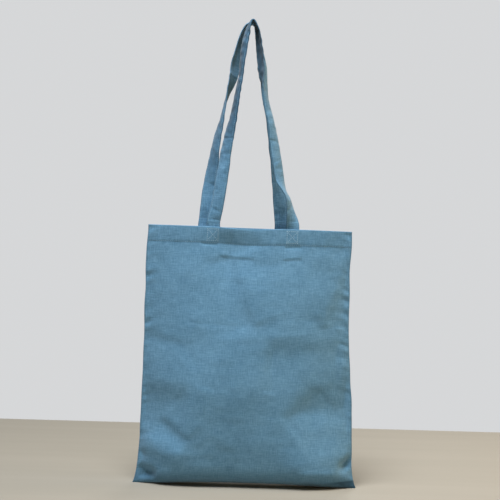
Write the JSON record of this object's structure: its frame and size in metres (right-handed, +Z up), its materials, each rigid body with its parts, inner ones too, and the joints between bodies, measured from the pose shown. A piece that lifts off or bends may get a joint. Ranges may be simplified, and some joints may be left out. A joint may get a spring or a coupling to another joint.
{
  "type": "tote bag",
  "caption": "Flat soft cotton tote bag with an open hemmed mouth and long cloth handles, hanging from a peg; carries light shopping.",
  "frame": {"origin": "the point under the crest of the handles where the bag hangs on a peg", "axes": "+Z up, +X to the right across the bag as seen from its front, +Y towards its back"},
  "size_m": [0.3658, 0.0758, 0.7669],
  "materials": {
    "body_cotton": "dusty blue plain-weave cotton, matt, with soft creases",
    "handle_cotton": "the same dusty blue cotton, folded and sewn flat along both edges"
  },
  "bodies": {
    "root": {"front_panel": "body_cotton", "back_panel": "body_cotton", "front_hem": "body_cotton", "back_hem": "body_cotton", "front_handle": "handle_cotton", "back_handle": "handle_cotton"}
  },
  "joints": []
}
